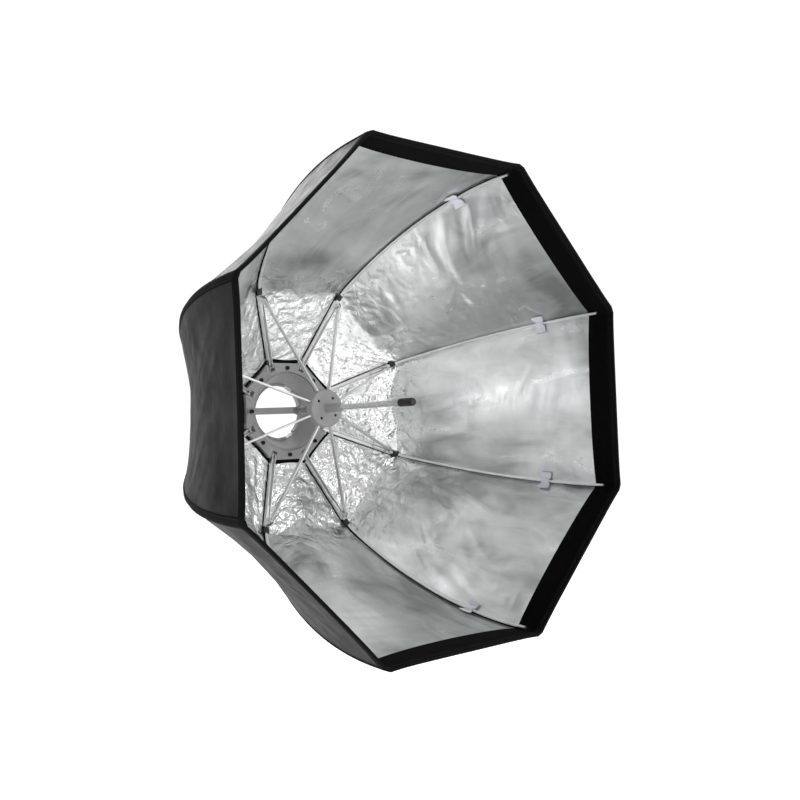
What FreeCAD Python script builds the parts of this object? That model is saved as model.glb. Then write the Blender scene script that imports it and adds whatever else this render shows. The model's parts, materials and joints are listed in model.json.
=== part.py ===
import FreeCAD, Part
import Sketcher
import math
import os
from FreeCAD import Placement, Rotation, Vector

# Octagonal umbrella-frame softbox. Millimetres, +Z up. The origin is the centre of the rear
# mounting face, the box opens towards -Y, and every depth is measured forward from that face.

os.makedirs("parts", exist_ok=True)
doc = FreeCAD.newDocument("softbox")
sheet = doc.addObject("Spreadsheet::Sheet", "dims")


class Size:
    """A length with its value and the expression that ties it to the sheet."""

    def __init__(self, value, text):
        self.value = float(value)
        self.text = text

    def __add__(self, other):
        return Size(self.value + amount(other), f"({self.text} + {words(other)})")

    def __sub__(self, other):
        return Size(self.value - amount(other), f"({self.text} - {words(other)})")

    def __mul__(self, factor):
        return Size(self.value * factor, f"({self.text} * {factor})")

    def __neg__(self):
        return Size(-self.value, f"(-1 * {self.text})")


def amount(other):
    return other.value if isinstance(other, Size) else float(other)


def words(other):
    return other.text if isinstance(other, Size) else str(other)


def dim(alias, value):
    row = dim.rows + 1
    dim.rows = row
    sheet.set(f"A{row}", alias)
    sheet.set(f"B{row}", str(value))
    sheet.setAlias(f"B{row}", alias)
    return Size(value, f"dims.{alias}")


dim.rows = 0
zero = Size(0, "0")

# Ribs: eight, one behind each corner of the mouth.
ribCount = 8
ribStep = 360 / ribCount
firstRib = ribStep / 2

# Mouth and canopy
mouthCorner = dim("mouthCorner", 400)
mouthDepth = dim("mouthDepth", 505)
fabricThick = dim("fabricThick", 2.5)
panelSag = dim("panelSag", 0.05)
seamGap = dim("seamGap", 0.25)
channelCover = dim("channelCover", 6.2)
rodCover = dim("rodCover", 4.0)

# Speed ring
ringCorner = dim("ringCorner", 96)
ringHole = dim("ringHole", 72.8)
ringBack = dim("ringBack", 36)
ringThick = dim("ringThick", 9)
notchInner = dim("notchInner", 79)
notchWidth = dim("notchWidth", 11)
screwCircle = dim("screwCircle", 80)
screwHole = dim("screwHole", 2.2)

# Bayonet insert
boreRadius = dim("boreRadius", 49)
insertRim = dim("insertRim", 72.3)
insertRimInner = dim("insertRimInner", 68.5)
insertFront = dim("insertFront", 42)
insertFlange = dim("insertFlange", 84)
insertFlangeFront = dim("insertFlangeFront", 35.9)
insertFlangeBack = dim("insertFlangeBack", 32.9)
insertNeck = dim("insertNeck", 60)
insertFloor = dim("insertFloor", 10)
floorEdge = dim("floorEdge", 53)
lugAngle = dim("lugAngle", 24)
lugInner = dim("lugInner", 53)
lugOuter = dim("lugOuter", 57)
lugTip = dim("lugTip", 60.5)
lugLength = dim("lugLength", 8.5)
lugGap = dim("lugGap", 5.5)
notchDeep = dim("notchDeep", 52.2)

# Screws of the ring
screwRadius = dim("screwRadius", 2)
screwEnd = dim("screwEnd", 31)
headRadius = dim("headRadius", 3.6)
headHeight = dim("headHeight", 3.2)
socketRadius = dim("socketRadius", 1.7)
socketDepth = dim("socketDepth", 1.8)

# Pins
pinRadius = dim("pinRadius", 1.5)
pinSeat = dim("pinSeat", 1.55)
pinEye = dim("pinEye", 1.56)
ribPinLength = dim("ribPinLength", 28)

# Rib: a U channel from the ring to the stretcher, then a bowed rod to the corner.
rootRadius = dim("rootRadius", 86.4)
rootDepth = dim("rootDepth", 41.3)
channelTilt = dim("channelTilt", 21.316)
channelLength = dim("channelLength", 135.9)
channelWidth = dim("channelWidth", 8)
channelInside = dim("channelInside", 5.6)
channelTop = dim("channelTop", 4.2)
channelLow = dim("channelLow", 3.3)
webInner = dim("webInner", 3)
channelEnd = dim("channelEnd", 142)
rootEye = dim("rootEye", 4)
cheekDrop = dim("cheekDrop", 12)
cheekEye = dim("cheekEye", 4.5)
rivetRadius = dim("rivetRadius", 2.2)
rivetSpan = dim("rivetSpan", 9.6)
rodRadius = dim("rodRadius", 2.5)
rodStart = dim("rodStart", 104)
kinkRadius = dim("kinkRadius", 90)
kinkAngle = dim("kinkAngle", 28)
tipRadius = dim("tipRadius", 392)
tipDepth = dim("tipDepth", 477.2)
clipRadius = dim("clipRadius", 4.6)
clipBore = dim("clipBore", 2.8)
clipLength = dim("clipLength", 11)
tabWing = dim("tabWing", 12)
tabWidth = dim("tabWidth", 14)
tabLow = dim("tabLow", 4.1)

# Stretchers and runner
runnerRadius = dim("runnerRadius", 33)
hubCircle = dim("hubCircle", 30)
hubDepth = dim("hubDepth", 158.5)
runnerBack = dim("runnerBack", 154)
runnerSplit = dim("runnerSplit", 163)
runnerFront = dim("runnerFront", 169)
sleeveRadius = dim("sleeveRadius", 7.5)
sleeveFront = dim("sleeveFront", 209)
slideBore = dim("slideBore", 5.05)
slotInner = dim("slotInner", 23)
slotWidth = dim("slotWidth", 4.4)
hubPinLength = dim("hubPinLength", 14)
hubScrewCircle = dim("hubScrewCircle", 21.5)
hubScrewAngle = 54
hubScrewHole = dim("hubScrewHole", 1.6)
hubScrewRadius = dim("hubScrewRadius", 1.5)
hubHeadRadius = dim("hubHeadRadius", 2.5)
hubHeadSeat = dim("hubHeadSeat", 2.7)
hubHeadDepth = dim("hubHeadDepth", 3)
stripWidth = dim("stripWidth", 6)
stripThick = dim("stripThick", 3)
stripEye = dim("stripEye", 4)
stripEnd = dim("stripEnd", 3.5)
stripGroove = dim("stripGroove", 0.6)
stubLength = dim("stubLength", 5)

# Shaft and its bracket
shaftRadius = dim("shaftRadius", 5)
shaftBack = dim("shaftBack", 74)
shaftFront = dim("shaftFront", 391)
tipStart = dim("tipStart", 368)
tipEnd = dim("tipEnd", 400)
tipCap = dim("tipCap", 6.5)
shaftSeat = dim("shaftSeat", 5.02)
bracketThick = dim("bracketThick", 2.5)
bracketWidth = dim("bracketWidth", 12)
bracketFoot = dim("bracketFoot", 87)
bracketBend = dim("bracketBend", 73)
bracketTop = dim("bracketTop", 14)
bracketRise = dim("bracketRise", 82.5)
bossRadius = dim("bossRadius", 8)
bossLength = dim("bossLength", 16)

# Back collar
collarOuter = dim("collarOuter", 97.5)
collarInner = dim("collarInner", 65)

doc.recompute()


# ---- helpers: sketches, features and placements

def newBody(name):
    body = doc.addObject("PartDesign::Body", name)
    body.Label = name
    body.AllowCompound = True
    return body


def originPart(body, role):
    for feature in body.Origin.OriginFeatures:
        if feature.Role == role:
            return feature
    raise ValueError(role)


def newSketch(body, name, role, shift=zero, turn=0, turnAxis=Vector(0, 0, 1)):
    sketch = body.newObject("Sketcher::SketchObject", name)
    sketch.AttachmentSupport = [(originPart(body, role), "")]
    sketch.MapMode = "FlatFace"
    sketch.AttachmentOffset = Placement(Vector(0, 0, shift.value), Rotation(turnAxis, turn))
    if shift is not zero:
        sketch.setExpression("AttachmentOffset.Base.z", shift.text)
    return sketch


def across(body, name, depth, turn=0):
    """A sketch across the box's axis at a depth: x is +X, y is +Z, and a pad grows forward."""
    return newSketch(body, name, "XZ_Plane", depth, turn)


def along(body, name, azimuth=0):
    """A sketch in the plane that holds the box's axis and one azimuth."""
    return newSketch(body, name, "XY_Plane", zero, -azimuth, Vector(0, 1, 0))


def hold(sketch, geometry, point, x, y):
    """Dimension one point of a sketch from its origin."""
    for kind, size, axis in (("DistanceX", x, -2), ("DistanceY", y, -1)):
        if abs(size.value) < 1e-9:
            sketch.addConstraint(Sketcher.Constraint("PointOnObject", geometry, point, axis))
            continue
        if size.value > 0:
            rule = Sketcher.Constraint(kind, -1, 1, geometry, point, size.value)
            text = size.text
        else:
            rule = Sketcher.Constraint(kind, geometry, point, -1, 1, -size.value)
            text = f"-1 * {size.text}"
        index = sketch.addConstraint(rule)
        sketch.setExpression(f"Constraints[{index}]", text)


def polygon(sketch, corners):
    points = [Vector(x.value, y.value, 0) for x, y in corners]
    first = sketch.GeometryCount
    count = len(points)
    for i in range(count):
        sketch.addGeometry(Part.LineSegment(points[i], points[(i + 1) % count]), False)
    for i in range(count):
        following = first + (i + 1) % count
        sketch.addConstraint(Sketcher.Constraint("Coincident", first + i, 2, following, 1))
    for i, (x, y) in enumerate(corners):
        hold(sketch, first + i, 1, x, y)


def rectangle(sketch, left, right, low, high):
    polygon(sketch, [(left, low), (right, low), (right, high), (left, high)])


def circle(sketch, x, y, radius):
    shape = Part.Circle(Vector(x.value, y.value, 0), Vector(0, 0, 1), radius.value)
    index = sketch.addGeometry(shape, False)
    rule = sketch.addConstraint(Sketcher.Constraint("Radius", index, radius.value))
    sketch.setExpression(f"Constraints[{rule}]", radius.text)
    hold(sketch, index, 3, x, y)


def polar(radius, angle):
    turn = math.radians(angle)
    x = Size(radius.value * math.cos(turn), f"({radius.text} * cos({angle} deg))")
    y = Size(radius.value * math.sin(turn), f"({radius.text} * sin({angle} deg))")
    return x, y


def ringOfCircles(sketch, pitchRadius, radius, angles):
    for angle in angles:
        x, y = polar(pitchRadius, angle)
        circle(sketch, x, y, radius)


def pad(body, sketch, length, middle=False, reverse=False):
    feature = body.newObject("PartDesign::Pad", sketch.Name + "Pad")
    feature.Profile = sketch
    feature.Length = length.value
    feature.setExpression("Length", length.text)
    feature.Midplane = middle
    feature.Reversed = reverse
    return feature


def pocket(body, sketch, length=None, middle=False, reverse=False):
    feature = body.newObject("PartDesign::Pocket", sketch.Name + "Cut")
    feature.Profile = sketch
    if length is None:
        feature.Type = "ThroughAll"
    else:
        feature.Length = length.value
        feature.setExpression("Length", length.text)
    feature.Midplane = middle
    feature.Reversed = reverse
    return feature


def turned(body, sketch, kind="PartDesign::Revolution", angle=None):
    feature = body.newObject(kind, sketch.Name + "Turn")
    feature.Profile = sketch
    feature.ReferenceAxis = (originPart(body, "Y_Axis"), [""])
    feature.Angle = 360 if angle is None else angle.value
    if angle is not None:
        feature.setExpression("Angle", angle.text)
        feature.Midplane = True
    return feature


def pattern(body, features, count):
    feature = body.newObject("PartDesign::PolarPattern", features[0].Name + "Round")
    feature.Originals = features
    feature.Axis = (originPart(body, "Y_Axis"), [""])
    feature.Angle = 360
    feature.Occurrences = count
    body.Tip = feature
    return feature


def radialFrame(azimuth, radius, depth, tilt):
    """Local x runs outward and forward by tilt, local y faces back and out, z is tangential."""
    turn = math.radians(azimuth)
    lean = math.radians(tilt)
    outward = Vector(math.cos(turn), 0, math.sin(turn))
    x = outward * math.cos(lean) + Vector(0, -math.sin(lean), 0)
    y = outward * math.sin(lean) + Vector(0, math.cos(lean), 0)
    base = outward * radius + Vector(0, -depth, 0)
    return Placement(base, Rotation(x, y, Vector(0, 0, 0), "XYZ"))


# ---- ring assembly

def speedRing():
    body = newBody("speed_ring")
    plate = across(body, "ringPlate", ringBack)
    polygon(plate, [polar(ringCorner, firstRib + ribStep * i) for i in range(ribCount)])
    circle(plate, zero, zero, ringHole)
    pad(body, plate, ringThick)
    notch = across(body, "ringNotch", zero, firstRib)
    rectangle(notch, notchInner, ringCorner + 6, notchWidth * -0.5, notchWidth * 0.5)
    cut = pocket(body, notch, (ringBack + ringThick) * 2.5, middle=True)
    pattern(body, [cut], ribCount)
    seat = along(body, "ringPinSeat", firstRib)
    circle(seat, rootRadius, -rootDepth, pinSeat)
    cut = pocket(body, seat, ribPinLength + 1, middle=True)
    pattern(body, [cut], ribCount)
    holes = across(body, "ringHoles", zero)
    ringOfCircles(holes, screwCircle, screwHole, [ribStep * i for i in range(ribCount)])
    pocket(body, holes, (ringBack + ringThick) * 2.5, middle=True)
    return body


def bayonetInsert():
    body = newBody("bayonet_insert")
    dish = along(body, "insertDish")
    polygon(dish, [
        (insertRimInner, -insertFront),
        (insertRim, -insertFront),
        (insertRim, -insertFlangeFront),
        (insertFlange, -insertFlangeFront),
        (insertFlange, -insertFlangeBack),
        (insertRim - 1.3, -insertFlangeBack),
        (insertNeck, -(insertFloor - 1)),
        (insertNeck, zero),
        (boreRadius, zero),
        (boreRadius, -insertFloor),
        (floorEdge, -insertFloor),
    ])
    turned(body, dish)
    lug = along(body, "insertLug", 60)
    polygon(lug, [
        (lugInner, Size(-0.5, "-0.5")),
        (lugOuter, Size(-0.5, "-0.5")),
        (lugOuter, lugGap),
        (lugTip, lugGap),
        (lugTip, lugLength),
        (lugInner, lugLength),
    ])
    feature = turned(body, lug, angle=lugAngle)
    pattern(body, [feature], 3)
    notch = along(body, "insertNotch", 60)
    rectangle(notch, boreRadius - 1, notchDeep, -(insertFloor + 1), Size(1, "1"))
    feature = turned(body, notch, "PartDesign::Groove", lugAngle)
    pattern(body, [feature], 3)
    holes = across(body, "insertHoles", zero)
    ringOfCircles(holes, screwCircle, screwHole, [ribStep * i for i in range(ribCount)])
    pocket(body, holes, insertFront * 2.5, middle=True)
    return body


def ringScrews():
    body = newBody("ring_screws")
    plain = [ribStep * i for i in (1, 2, 3, 5, 6, 7)]
    footed = [0, 180]
    face = ringBack + ringThick
    for name, angles, rise in (("Plain", plain, zero), ("Foot", footed, bracketThick)):
        shank = across(body, "shank" + name, screwEnd + rise)
        ringOfCircles(shank, screwCircle, screwRadius, angles)
        pad(body, shank, face - screwEnd + 0.5)
        head = across(body, "head" + name, face + rise)
        ringOfCircles(head, screwCircle, headRadius, angles)
        pad(body, head, headHeight)
        socket = across(body, "socket" + name, face + rise + headHeight)
        ringOfCircles(socket, screwCircle, socketRadius, angles)
        pocket(body, socket, socketDepth)
    return body


def hingePins():
    body = newBody("rib_hinge_pins")
    pin = along(body, "hingePin", firstRib)
    circle(pin, rootRadius, -rootDepth, pinRadius)
    feature = pad(body, pin, ribPinLength, middle=True)
    pattern(body, [feature], ribCount)
    return body


def shaftBracket():
    body = newBody("shaft_bracket")
    face = ringBack + ringThick
    front = face + bracketThick
    arch = along(body, "bracketArch")
    half = [
        (bracketFoot, -face),
        (bracketFoot, -front),
        (bracketBend, -front),
        (bracketTop, -bracketRise),
    ]
    underside = [
        (bracketTop - 0.8, -(bracketRise - bracketThick)),
        (bracketBend - 0.8, -face),
    ]
    left = [(-x, y) for x, y in reversed(half)]
    leftUnderside = [(-x, y) for x, y in reversed(underside)]
    polygon(arch, half + left + leftUnderside + underside)
    pad(body, arch, bracketWidth, middle=True)
    boss = across(body, "bracketBoss", shaftBack)
    circle(boss, zero, zero, bossRadius)
    pad(body, boss, bossLength)
    seat = across(body, "bracketSeat", zero)
    circle(seat, zero, zero, shaftSeat)
    pocket(body, seat, bracketRise * 3, middle=True)
    holes = across(body, "bracketHoles", zero)
    ringOfCircles(holes, screwCircle, screwHole, [0, 180])
    pocket(body, holes, bracketRise * 3, middle=True)
    return body


def shaft():
    body = newBody("shaft")
    rod = across(body, "shaftRod", shaftBack)
    circle(rod, zero, zero, shaftRadius)
    pad(body, rod, shaftFront - shaftBack)
    return body


def shaftTip():
    body = newBody("shaft_tip")
    cap = along(body, "tipCapShape")
    polygon(cap, [
        (zero, -tipEnd),
        (tipCap - 2, -tipEnd),
        (tipCap - 0.6, -(tipEnd - 0.8)),
        (tipCap, -(tipEnd - 2.5)),
        (tipCap, -tipStart),
        (shaftSeat, -tipStart),
        (shaftSeat, -(shaftFront + 0.3)),
        (zero, -(shaftFront + 0.3)),
    ])
    turned(body, cap)
    return body


def backCollar():
    body = newBody("back_collar")
    skirt = along(body, "collarSkirt")
    polygon(skirt, [
        (collarOuter - 2.5, Size(-34.2, "-34.2")),
        (collarOuter, Size(-33, "-33")),
        (collarOuter - 7, Size(-25, "-25")),
        (collarInner + 8, Size(-12, "-12")),
        (collarInner, Size(-8, "-8")),
        (collarInner, Size(-10.5, "-10.5")),
        (collarInner + 7, Size(-14.5, "-14.5")),
        (collarOuter - 9, Size(-27.2, "-27.2")),
    ])
    turned(body, skirt)
    return body


# ---- runner

def hubAngles():
    return [hubScrewAngle + 90 * i for i in range(4)]


def runnerFrontPlate():
    body = newBody("runner_front")
    plate = along(body, "frontPlate")
    polygon(plate, [
        (slideBore, -runnerSplit),
        (runnerRadius, -runnerSplit),
        (runnerRadius, -(runnerFront - 1.5)),
        (runnerRadius - 1.5, -runnerFront),
        (sleeveRadius + 2, -runnerFront),
        (sleeveRadius, -(runnerFront + 2)),
        (sleeveRadius, -(sleeveFront - 1)),
        (sleeveRadius - 1, -sleeveFront),
        (slideBore, -sleeveFront),
    ])
    turned(body, plate)
    holes = across(body, "frontHoles", zero)
    ringOfCircles(holes, hubScrewCircle, hubScrewHole, hubAngles())
    pocket(body, holes, runnerFront * 3, middle=True)
    seats = across(body, "frontSeats", runnerFront)
    ringOfCircles(seats, hubScrewCircle, hubHeadSeat, hubAngles())
    pocket(body, seats, hubHeadDepth)
    return body


def runnerBackPlate():
    body = newBody("runner_back")
    plate = across(body, "backPlate", runnerBack)
    circle(plate, zero, zero, runnerRadius)
    circle(plate, zero, zero, slideBore)
    pad(body, plate, runnerSplit - runnerBack)
    slot = across(body, "backSlot", zero, firstRib)
    rectangle(slot, slotInner, runnerRadius + 4, slotWidth * -0.5, slotWidth * 0.5)
    cut = pocket(body, slot, runnerFront * 3, middle=True)
    pattern(body, [cut], ribCount)
    seat = along(body, "backPinSeat", firstRib)
    circle(seat, hubCircle, -hubDepth, pinSeat)
    cut = pocket(body, seat, hubPinLength + 0.6, middle=True)
    pattern(body, [cut], ribCount)
    holes = across(body, "backHoles", zero)
    ringOfCircles(holes, hubScrewCircle, hubScrewHole, hubAngles())
    pocket(body, holes, runnerFront * 3, middle=True)
    return body


def runnerScrews():
    body = newBody("runner_screws")
    shank = across(body, "hubShank", runnerBack + 1)
    ringOfCircles(shank, hubScrewCircle, hubScrewRadius, hubAngles())
    pad(body, shank, runnerFront - runnerBack - hubHeadDepth - 0.5)
    head = across(body, "hubHead", runnerFront - hubHeadDepth)
    ringOfCircles(head, hubScrewCircle, hubHeadRadius, hubAngles())
    pad(body, head, hubHeadDepth - 0.5)
    return body


def runnerPins():
    body = newBody("runner_pins")
    pin = along(body, "hubPin", firstRib)
    circle(pin, hubCircle, -hubDepth, pinRadius)
    feature = pad(body, pin, hubPinLength, middle=True)
    pattern(body, [feature], ribCount)
    return body


# ---- one rib

rootFrame = radialFrame(0, rootRadius.value, rootDepth.value, channelTilt.value)


def ribPoint(x, y):
    """A point of the rib's own plane as radius and depth of the whole box."""
    point = rootFrame.multVec(Vector(x, y, 0))
    return point.x, -point.y


def rodCurve():
    """The rod bends just past the stretcher, then runs on one long arc to the corner."""
    turn = math.radians(kinkAngle.value)
    start = Vector(channelLength.value, 0, 0)
    bend = kinkRadius.value
    kinkEnd = start + Vector(bend * math.sin(turn), -bend * (1 - math.cos(turn)), 0)
    kinkMid = start + Vector(bend * math.sin(turn / 2), -bend * (1 - math.cos(turn / 2)), 0)
    tip = rootFrame.inverse().multVec(Vector(tipRadius.value, -tipDepth.value, 0))
    chord = tip - kinkEnd
    half = -math.atan2(chord.y, chord.x) - turn
    sweep = chord.Length / (2 * math.sin(half))
    heading = Vector(math.cos(turn), -math.sin(turn), 0)
    inward = Vector(-math.sin(turn), -math.cos(turn), 0)
    centre = kinkEnd + inward * sweep

    def onArc(share):
        angle = 2 * half * share
        point = centre - inward * (sweep * math.cos(angle)) + heading * (sweep * math.sin(angle))
        return point, math.degrees(turn + angle)

    return start, kinkMid, kinkEnd, tip, sweep, onArc


curveStart, kinkMid, kinkEnd, rodTip, sweepRadius, onArc = rodCurve()


def ribChannel(index, frame):
    body = newBody(f"rib_channel_{index}")
    name = f"channel{index}"
    side = newSketch(body, name + "Side", "XY_Plane")
    rectangle(side, zero, channelEnd, -channelLow, channelTop)
    pad(body, side, channelWidth, middle=True)
    eye = newSketch(body, name + "Eye", "XY_Plane")
    circle(eye, zero, zero, rootEye)
    pad(body, eye, channelWidth, middle=True)
    cheek = newSketch(body, name + "Cheek", "XY_Plane")
    rectangle(cheek, channelLength - 7, channelEnd, -cheekDrop, zero)
    pad(body, cheek, channelWidth, middle=True)
    lobe = newSketch(body, name + "Lobe", "XY_Plane")
    circle(lobe, channelLength, -cheekDrop, cheekEye)
    pad(body, lobe, channelWidth, middle=True)
    rivet = newSketch(body, name + "Rivet", "XY_Plane")
    circle(rivet, channelLength, -cheekDrop, rivetRadius)
    pad(body, rivet, rivetSpan, middle=True)
    trough = newSketch(body, name + "Trough", "XY_Plane")
    rectangle(trough, Size(-6, "-6"), channelEnd + 4, -(cheekDrop + 8), webInner)
    pocket(body, trough, channelInside, middle=True)
    bore = newSketch(body, name + "Bore", "XY_Plane")
    circle(bore, zero, zero, pinEye)
    pocket(body, bore, channelWidth * 2, middle=True)
    body.Placement = frame
    return body


def ribRod(index, frame):
    body = newBody(f"rib_rod_{index}")
    name = f"rod{index}"
    path = newSketch(body, name + "Path", "XY_Plane")
    path.addGeometry(Part.LineSegment(Vector(rodStart.value, 0, 0), curveStart), False)
    path.addGeometry(Part.Arc(curveStart, kinkMid, kinkEnd), False)
    path.addGeometry(Part.Arc(kinkEnd, onArc(0.5)[0], rodTip), False)
    hold(path, 0, 1, rodStart, zero)
    hold(path, 0, 2, channelLength, zero)
    rule = path.addConstraint(Sketcher.Constraint("Radius", 1, kinkRadius.value))
    path.setExpression(f"Constraints[{rule}]", kinkRadius.text)
    section = newSketch(body, name + "Section", "YZ_Plane", rodStart)
    circle(section, zero, zero, rodRadius)
    pipe = body.newObject("PartDesign::AdditivePipe", name + "Pipe")
    pipe.Profile = section
    pipe.Spine = (path, [])
    body.Placement = frame
    return body


def ribClip(index, frame):
    body = newBody(f"rib_clip_{index}")
    ring = newSketch(body, f"clip{index}Ring", "YZ_Plane")
    circle(ring, zero, zero, clipRadius)
    circle(ring, zero, zero, clipBore)
    pad(body, ring, clipLength, middle=True)
    bend = kinkRadius.value
    turn = 15 / bend
    centre = curveStart + Vector(bend * math.sin(turn), -bend * (1 - math.cos(turn)), 0)
    local = Placement(centre, Rotation(Vector(0, 0, 1), -math.degrees(turn)))
    body.Placement = frame.multiply(local)
    return body


def ribTab(index, frame):
    """A hook-and-loop strap that crosses over the rod and lies on the lining at both sides."""
    body = newBody(f"rib_tab_{index}")
    strap = newSketch(body, f"tab{index}Strap", "YZ_Plane")
    inside = rodRadius + 0.5
    outside = rodRadius + 1.7
    outer = [
        (-tabLow, tabWing),
        (-(tabLow + 1.3), tabWing),
        (Size(-0.9, "-0.9"), outside + 0.1),
        (-(outside * 0.5), outside),
        (-outside, outside * 0.5),
    ]
    inner = [
        (-inside, inside * 0.53),
        (-(inside * 0.53), inside),
        (Size(1.1, "1.1"), inside),
    ]
    below = [(x, -y) for x, y in reversed(outer)]
    belowInner = [(x, -y) for x, y in reversed(inner)]
    polygon(strap, outer + below + belowInner + inner)
    pad(body, strap, tabWidth, middle=True)
    centre, lean = onArc(0.70)
    local = Placement(centre, Rotation(Vector(0, 0, 1), -lean))
    body.Placement = frame.multiply(local)
    return body


def profileStations():
    """Radius and depth of the fabric's inner and outer face along one rib."""
    stations = []
    cover = channelCover.value
    thick = fabricThick.value
    for x in (11, 55, 95, channelLength.value):
        stations.append((Vector(x, cover, 0), Vector(x, cover + thick, 0)))
    bend = kinkRadius.value
    for third in (1, 2):
        turn = math.radians(kinkAngle.value) * third / 3
        normal = Vector(math.sin(turn), math.cos(turn), 0)
        point = curveStart + Vector(bend * math.sin(turn), -bend * (1 - math.cos(turn)), 0)
        stations.append((point + normal * cover, point + normal * (cover + thick)))
    for share in (0.0, 0.08, 0.2, 0.33, 0.47, 0.61, 0.75, 0.88, 1.0):
        point, lean = onArc(share)
        turn = math.radians(lean)
        normal = Vector(math.sin(turn), math.cos(turn), 0)
        ease = min(1, share / 0.2)
        gap = cover + (rodCover.value - cover) * ease
        stations.append((point + normal * gap, point + normal * (gap + thick)))
    pairs = [(ribPoint(a.x, a.y), ribPoint(b.x, b.y)) for a, b in stations]
    rim = (mouthCorner.value, mouthDepth.value)
    pairs.append(((rim[0] - thick, rim[1]), rim))
    return pairs


def gore(index, azimuth):
    """The fabric round one rib, as far as the middle of the panel at each side of it."""
    turn = math.radians(azimuth)
    out = Vector(math.cos(turn), 0, math.sin(turn))
    side = Vector(-math.sin(turn), 0, math.cos(turn))
    half = math.radians(ribStep / 2)
    pairs = profileStations()
    rows = []
    for number, pair in enumerate(pairs):
        share = number / (len(pairs) - 1)
        sag = 1 - panelSag.value * math.sin(math.pi * share)
        row = []
        for radius, depth in pair:
            middle = radius * math.cos(half) * sag
            across = middle * math.sin(half) - seamGap.value
            inward = middle * math.cos(half)
            left = out * inward - side * across + Vector(0, -depth, 0)
            ridge = out * radius + Vector(0, -depth, 0)
            right = out * inward + side * across + Vector(0, -depth, 0)
            row.append((left, ridge, right))
        rows.append(row)
    faces = []

    def quad(a, b, c, d):
        faces.append(Part.Face(Part.makePolygon([a, b, c, a])))
        faces.append(Part.Face(Part.makePolygon([a, c, d, a])))

    for first, second in zip(rows, rows[1:]):
        for layer in (0, 1):
            for column in (0, 1):
                a = first[layer][column]
                b = first[layer][column + 1]
                c = second[layer][column + 1]
                d = second[layer][column]
                quad(a, b, c, d)
        for column in (0, 2):
            quad(first[0][column], first[1][column], second[1][column], second[0][column])
    for row in (rows[0], rows[-1]):
        for column in (0, 1):
            quad(row[0][column], row[0][column + 1], row[1][column + 1], row[1][column])
    shell = Part.makeShell(faces)
    solid = Part.makeSolid(shell)
    if solid.Volume < 0:
        solid.reverse()
    feature = doc.addObject("Part::Feature", f"canopy_gore_{index}")
    feature.Label = f"canopy_gore_{index}"
    feature.Shape = solid
    return feature


def stretcher(index, azimuth):
    joint = ribPoint(channelLength.value, -cheekDrop.value)
    reach = joint[0] - hubCircle.value
    rise = hubDepth.value - joint[1]
    length = math.hypot(reach, rise)
    tilt = -math.degrees(math.atan2(rise, reach))
    frame = radialFrame(azimuth, hubCircle.value, hubDepth.value, tilt)
    end = Size(length, str(length))
    body = newBody(f"stretcher_{index}")
    name = f"strut{index}"
    strip = newSketch(body, name + "Strip", "XY_Plane")
    rectangle(strip, zero, end, stripWidth * -0.5, stripWidth * 0.5)
    pad(body, strip, stripThick, middle=True)
    eyes = newSketch(body, name + "Eye", "XY_Plane")
    circle(eyes, zero, zero, stripEye)
    pad(body, eyes, stripThick, middle=True)
    tongue = newSketch(body, name + "Tongue", "XY_Plane")
    circle(tongue, end, zero, stripEnd)
    pad(body, tongue, stripThick, middle=True)
    for side, label in ((1, "Left"), (-1, "Right")):
        groove = newSketch(body, name + label, "XY_Plane", stripThick * (0.5 * side))
        rectangle(groove, Size(12, "12"), end - 14, stripWidth * -0.27, stripWidth * 0.27)
        pocket(body, groove, stripGroove, reverse=side < 0)
    bore = newSketch(body, name + "Bore", "XY_Plane")
    circle(bore, zero, zero, pinEye)
    pocket(body, bore, stripThick * 3, middle=True)
    stub = newSketch(body, name + "Stub", "XY_Plane")
    circle(stub, end, zero, pinRadius)
    pad(body, stub, stubLength, middle=True)
    body.Placement = frame
    return body


# ---- build everything

parts = [
    speedRing(),
    bayonetInsert(),
    ringScrews(),
    hingePins(),
    shaftBracket(),
    shaft(),
    shaftTip(),
    backCollar(),
    runnerFrontPlate(),
    runnerBackPlate(),
    runnerScrews(),
    runnerPins(),
]
for number in range(ribCount):
    azimuth = firstRib + ribStep * number
    frame = radialFrame(azimuth, rootRadius.value, rootDepth.value, channelTilt.value)
    label = number + 1
    parts.append(ribChannel(label, frame))
    parts.append(ribRod(label, frame))
    parts.append(ribClip(label, frame))
    parts.append(ribTab(label, frame))
    parts.append(gore(label, azimuth))
    parts.append(stretcher(label, azimuth))
doc.recompute()

for item in doc.Objects:
    if "Invalid" in item.State or "Error" in item.State:
        raise SystemExit(f"{item.Name} failed: {item.State}")
for item in parts:
    shape = item.Shape
    if shape.isNull() or not shape.isValid():
        raise SystemExit(f"{item.Label} has no valid shape")
    print(item.Label, "solids", len(shape.Solids), "volume", round(shape.Volume, 1))
for item in parts:
    item.Shape.exportStep(f"parts/{item.Label}.step")
print(len(parts), "sub-parts written")
print("sweep radius", round(sweepRadius, 1))
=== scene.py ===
import json
import math
import bpy
import numpy as np
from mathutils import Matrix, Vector, noise


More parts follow.
